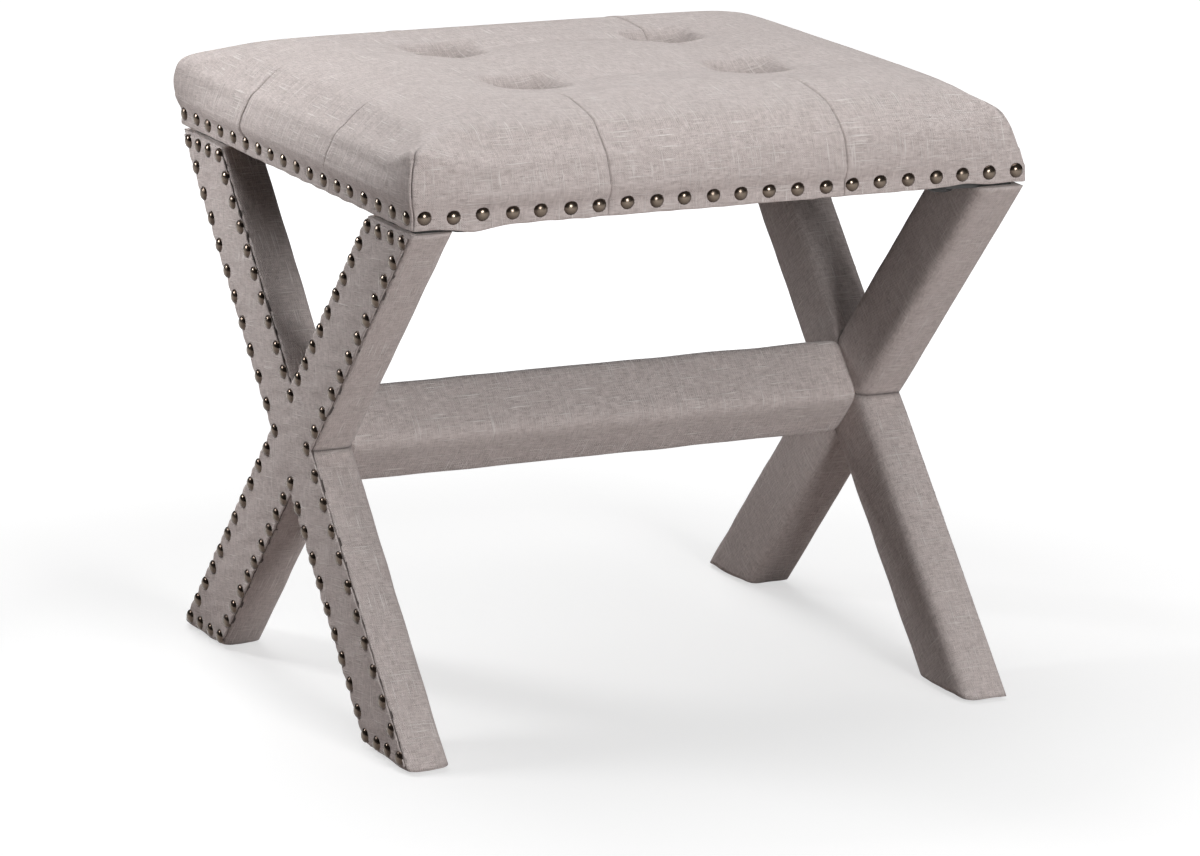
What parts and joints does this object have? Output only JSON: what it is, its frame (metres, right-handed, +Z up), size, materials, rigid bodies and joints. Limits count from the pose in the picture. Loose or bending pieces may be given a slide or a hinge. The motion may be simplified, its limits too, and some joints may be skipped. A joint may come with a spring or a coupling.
{
  "type": "accent bench",
  "caption": "Upholstered bench with a tufted, nail-trimmed linen seat on two padded X-shaped end frames joined by a diamond-section stretcher.",
  "frame": {"origin": "on the floor, under the centre of the bench", "axes": "+X along the length, from one end frame to the other; -Y to the front; +Z up"},
  "size_m": [0.4826, 0.4318, 0.4572],
  "materials": {
    "linen": "light grey-taupe slubbed linen weave",
    "nail_bronze": "antique bronze, rubbed bright on the crowns",
    "plywood": "plain birch plywood",
    "frame_wood": "planed, unfinished",
    "foam": "open-cell seat foam",
    "dust_cloth": "black non-woven cloth",
    "twine": "waxed twine",
    "zinc_steel": "zinc plated",
    "black_steel": "satin black",
    "glide_plastic": "matte black"
  },
  "bodies": {
    "root": {"seat_cover": "linen", "tuft_buttons": "linen", "left_face_panel": "linen", "right_face_panel": "linen", "stretcher_wrap": "linen", "left_wrap_front_top": "linen", "left_wrap_back_top": "linen", "left_wrap_front_foot": "linen", "left_wrap_back_foot": "linen", "right_wrap_front_top": "linen", "right_wrap_back_top": "linen", "right_wrap_front_foot": "linen", "right_wrap_back_foot": "linen", "seat_nails_front": "nail_bronze", "seat_nails_back": "nail_bronze", "seat_nails_left": "nail_bronze", "seat_nails_right": "nail_bronze", "left_face_nails": "nail_bronze", "right_face_nails": "nail_bronze", "seat_board": "plywood", "left_bar_front_top": "frame_wood", "left_bar_back_top": "frame_wood", "right_bar_front_top": "frame_wood", "right_bar_back_top": "frame_wood", "stretcher_bar": "frame_wood", "seat_foam": "foam", "dust_cover": "dust_cloth", "tuft_ties": "twine", "tuft_washers": "zinc_steel", "stretcher_bolts": "zinc_steel", "plate_screws": "zinc_steel", "seat_tnuts": "zinc_steel", "leg_plates": "black_steel", "seat_bolts": "black_steel", "foot_glides": "glide_plastic"}
  },
  "joints": []
}
